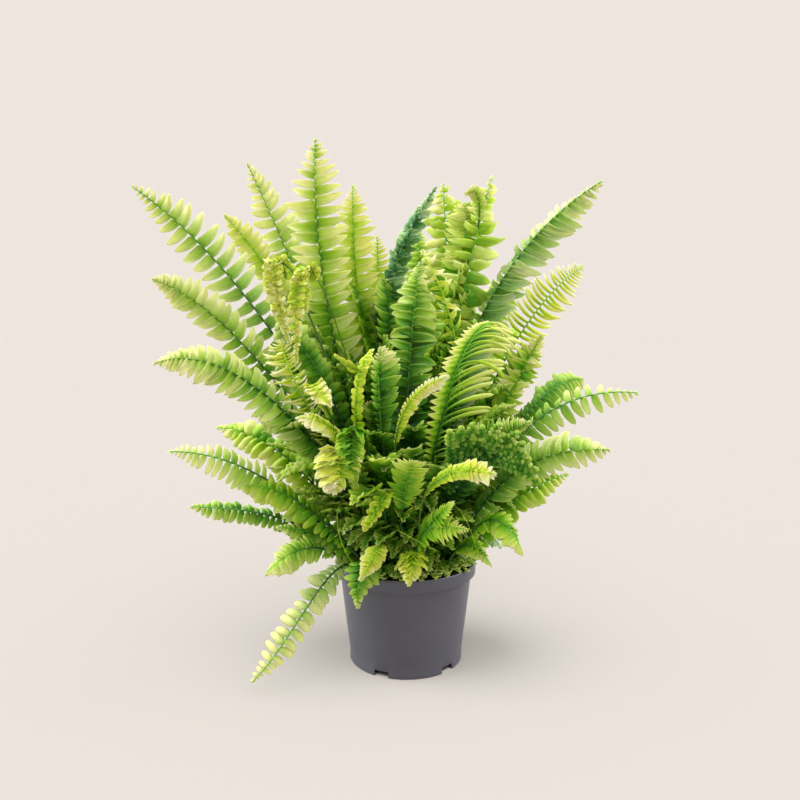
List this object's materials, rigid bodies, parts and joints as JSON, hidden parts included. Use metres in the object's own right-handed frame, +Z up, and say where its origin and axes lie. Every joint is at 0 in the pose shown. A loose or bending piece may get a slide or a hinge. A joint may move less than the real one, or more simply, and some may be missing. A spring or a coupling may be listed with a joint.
{
  "type": "potted fern",
  "caption": "Bushy sword fern with long pinnate fronds arching out of a round tapered nursery pot.",
  "frame": {"origin": "centre of the pot's flat base, on the surface the pot stands on", "axes": "+Z up along the pot's axis, -Y towards the front of the plant, +X to its right seen from the front"},
  "size_m": [0.4045, 0.2877, 0.4421],
  "materials": {
    "pot": "satin",
    "soil": "matte",
    "crown": "matte",
    "frond_old": "satin",
    "frond_grown": "satin",
    "frond_fresh": "satin",
    "frond_young": "satin"
  },
  "bodies": {
    "root": {"pot": "pot", "soil": "soil", "crown": "crown", "frond_heart": "frond_grown", "frond_heart_arch": "frond_young", "frond_top_right_twisted": "frond_fresh", "frond_top_right": "frond_fresh", "frond_top_blue": "frond_old", "frond_top_middle": "frond_fresh", "frond_top_second": "frond_fresh", "frond_left_high": "frond_grown", "frond_tallest": "frond_grown", "frond_left_long": "frond_grown", "frond_left_curl": "frond_young", "frond_left_curl_inner": "frond_young", "frond_left_curl_low": "frond_young", "frond_heart_left": "frond_fresh", "frond_front_edge_lit": "frond_young", "frond_right_arch": "frond_fresh", "frond_right_arch_low": "frond_grown", "frond_right_star": "frond_fresh", "frond_right_long": "frond_grown", "frond_right_comb": "frond_young", "frond_back_right_tall": "frond_grown", "frond_back_tall": "frond_grown", "frond_back_left_tall": "frond_old", "frond_left_short": "frond_fresh", "frond_left_second": "frond_grown", "frond_left_arch": "frond_grown", "frond_left_pale_comb": "frond_young", "frond_front_left_curl": "frond_young", "frond_heart_yellow": "frond_young", "frond_front_left_strip": "frond_young", "frond_front_fan": "frond_fresh", "frond_rim_front": "frond_young", "frond_front_spiky": "frond_fresh", "frond_front_pale": "frond_young", "frond_rim_right": "frond_fresh", "frond_right_droop": "frond_fresh", "frond_right_broad": "frond_grown", "frond_right_under": "frond_fresh", "frond_right_far": "frond_grown", "frond_right_dark": "frond_grown", "frond_rim_right_back": "frond_old", "frond_back_right_arch": "frond_grown", "frond_back_right_high": "frond_grown", "frond_back_low": "frond_old", "frond_back_arch": "frond_grown", "frond_back_left_low": "frond_old", "frond_back_left_high": "frond_grown", "frond_left_back_low": "frond_old", "frond_left_hidden": "frond_fresh", "frond_left_dark": "frond_grown", "frond_left_fingers": "frond_grown", "frond_left_droop": "frond_fresh", "frond_front_droop": "frond_fresh", "frond_front_left_cluster": "frond_young", "frond_rim_left": "frond_young", "frond_rim_middle": "frond_grown"}
  },
  "joints": []
}
